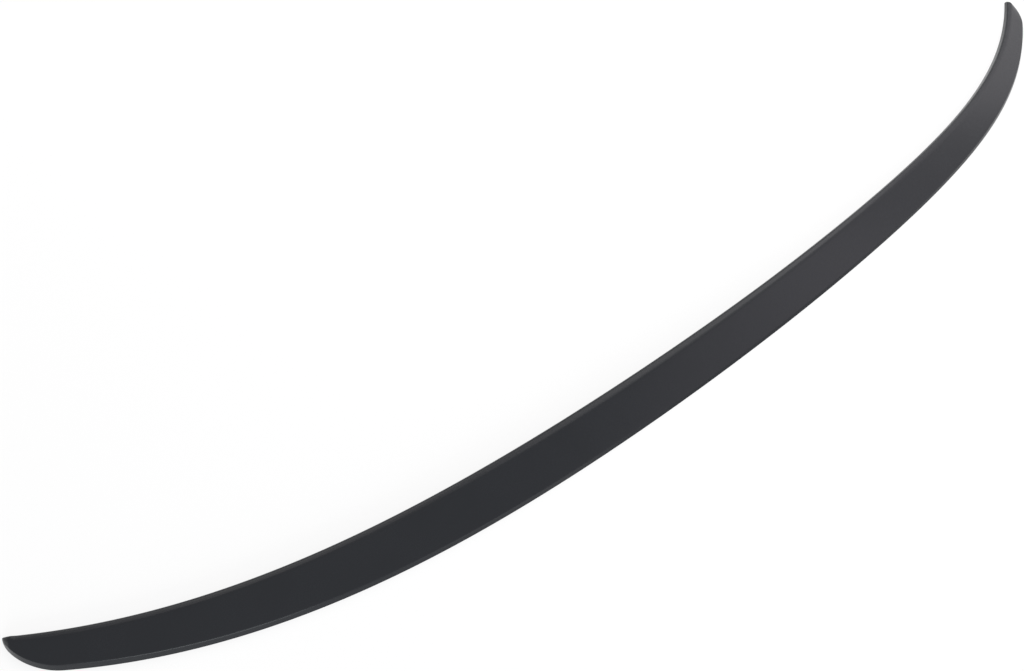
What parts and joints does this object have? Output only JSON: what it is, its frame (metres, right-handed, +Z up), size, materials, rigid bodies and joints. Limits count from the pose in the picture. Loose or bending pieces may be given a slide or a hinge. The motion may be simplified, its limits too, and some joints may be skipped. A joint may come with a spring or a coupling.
{
  "type": "car rear spoiler",
  "caption": "Slim boot-lid lip spoiler: a curved, tapering hollow blade with a soft lip, a sloping flat face, slanted round tips and a ribbed underside with flat lands for adhesive.",
  "frame": {"origin": "middle of the part's box, in the plane of the adhesive lands", "axes": "+X across the car along the blade, +Y to the car's front, +Z up from the boot lid"},
  "size_m": [1.2582, 0.1474, 0.0157],
  "materials": {
    "matt_moulding": "unpainted moulded plastic, fine satin black"
  },
  "bodies": {
    "root": {"spoiler": "matt_moulding"}
  },
  "joints": []
}
